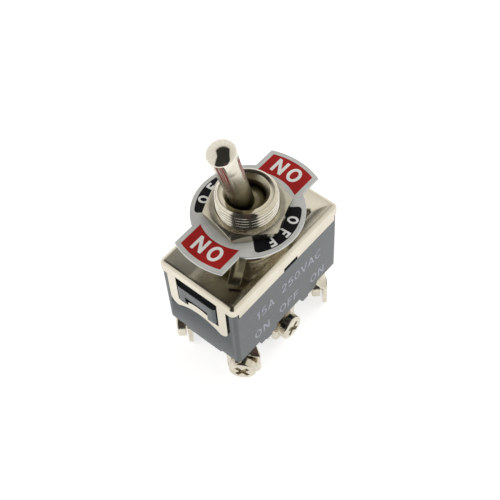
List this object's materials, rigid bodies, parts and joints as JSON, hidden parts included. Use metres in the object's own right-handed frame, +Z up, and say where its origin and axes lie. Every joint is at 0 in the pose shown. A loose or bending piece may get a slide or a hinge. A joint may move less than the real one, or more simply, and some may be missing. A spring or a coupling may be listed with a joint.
{
  "type": "toggle switch",
  "caption": "Panel toggle switch: bat lever in a threaded bushing with nuts and an ON-OFF-ON plate, steel cover over a grey base with screw terminals.",
  "frame": {"origin": "on the bushing axis, level with the top face of the steel cover", "axes": "+Z up along the bushing, towards the lever; X along the long side, the lever swings in XZ and rests towards -X; +Y across the two poles"},
  "size_m": [0.0324, 0.022, 0.0582],
  "materials": {
    "grey_phenolic": "moulded, satin",
    "nickelled_steel": "nickel plated, bright",
    "nickelled_brass": "nickel plated, bright",
    "plain_aluminium": "matte, printed red and black",
    "white_nylon": "moulded",
    "pressboard": "pressed fibre board",
    "contact_brass": "bare brass",
    "silver": "silver contact",
    "spring_steel": "drawn wire"
  },
  "bodies": {
    "switch_body": {"housing": "grey_phenolic", "cover_frame": "nickelled_steel", "insulator_sheet": "pressboard", "bushing": "nickelled_brass", "lower_nut": "nickelled_steel", "locating_washer": "nickelled_steel", "indicator_plate": "plain_aluminium", "upper_nut": "nickelled_steel", "fixed_buttons": "silver", "terminal_left_near": "nickelled_brass", "terminal_left_middle": "nickelled_brass", "terminal_left_far": "nickelled_brass", "terminal_right_near": "nickelled_brass", "terminal_right_middle": "nickelled_brass", "terminal_right_far": "nickelled_brass", "terminal_screws": "nickelled_steel"},
    "lever": {"lever": "nickelled_brass", "actuator_carrier": "white_nylon", "plunger_spring_left": "spring_steel", "plunger_spring_right": "spring_steel"},
    "plunger_left": {"plunger_left": "white_nylon"},
    "plunger_right": {"plunger_right": "white_nylon"},
    "rocker_left": {"contact_rocker_left": "contact_brass", "rocker_buttons_left": "silver"},
    "rocker_right": {"contact_rocker_right": "contact_brass", "rocker_buttons_right": "silver"}
  },
  "joints": [
    {"name": "lever_swing", "type": "hinge", "parent": "switch_body", "child": "lever", "pos_m": [0, 0, 0.0061], "axis": [0, 1, 0], "range_deg": [0, 27.6]},
    {"name": "rocker_left_tip", "type": "hinge", "parent": "switch_body", "child": "rocker_left", "pos_m": [0, -0.0043, -0.0136], "axis": [0, 1, 0], "range_deg": [-14, 0]},
    {"name": "rocker_right_tip", "type": "hinge", "parent": "switch_body", "child": "rocker_right", "pos_m": [0, 0.0043, -0.0136], "axis": [0, 1, 0], "range_deg": [-14, 0]},
    {"name": "plunger_left_press", "type": "slide", "parent": "lever", "child": "plunger_left", "axis": [-0.2385, 0, 0.9711], "range_m": [0, 0.0008], "stiffness_N_per_m": 200, "springref_m": -0.002, "deforming": ["plunger_spring_left"]},
    {"name": "plunger_right_press", "type": "slide", "parent": "lever", "child": "plunger_right", "axis": [-0.2385, 0, 0.9711], "range_m": [0, 0.0008], "stiffness_N_per_m": 200, "springref_m": -0.002, "deforming": ["plunger_spring_right"]}
  ],
  "couplings": [
    {"joint": "rocker_left_tip", "follows": "lever_swing", "ratio": -0.5072},
    {"joint": "rocker_right_tip", "follows": "lever_swing", "ratio": -0.5072}
  ]
}
